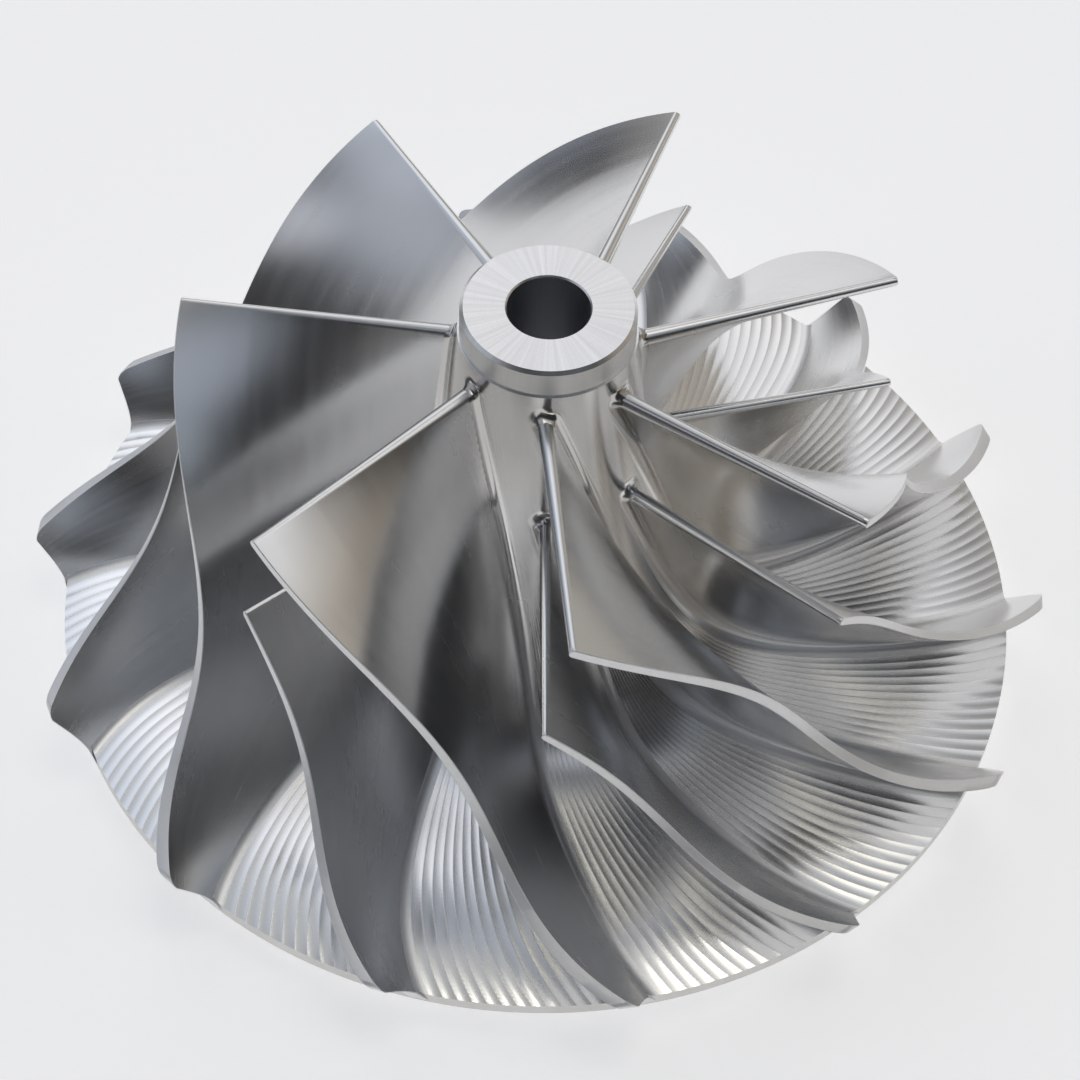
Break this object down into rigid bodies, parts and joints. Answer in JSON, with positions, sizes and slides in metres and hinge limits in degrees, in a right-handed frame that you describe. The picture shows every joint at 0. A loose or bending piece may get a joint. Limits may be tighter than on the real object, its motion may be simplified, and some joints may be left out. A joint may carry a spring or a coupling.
{
  "type": "compressor wheel",
  "caption": "Centrifugal compressor wheel with backswept full and splitter blades, a nose collar and a through bore.",
  "frame": {"origin": "centre of the bore in the plane of the flat boss under the disc, which the wheel rests on", "axes": "+Z along the bore from the boss to the nose; +X and +Y across, the full blade whose outer leading corner lies nearest -Y is at -85.1 degrees from +X, counter-clockwise seen from the nose"},
  "size_m": [0.1062, 0.1046, 0.0487],
  "materials": {
    "milled_aluminium": "bright milled and turned"
  },
  "bodies": {
    "root": {"compressor_wheel": "milled_aluminium"}
  },
  "joints": []
}
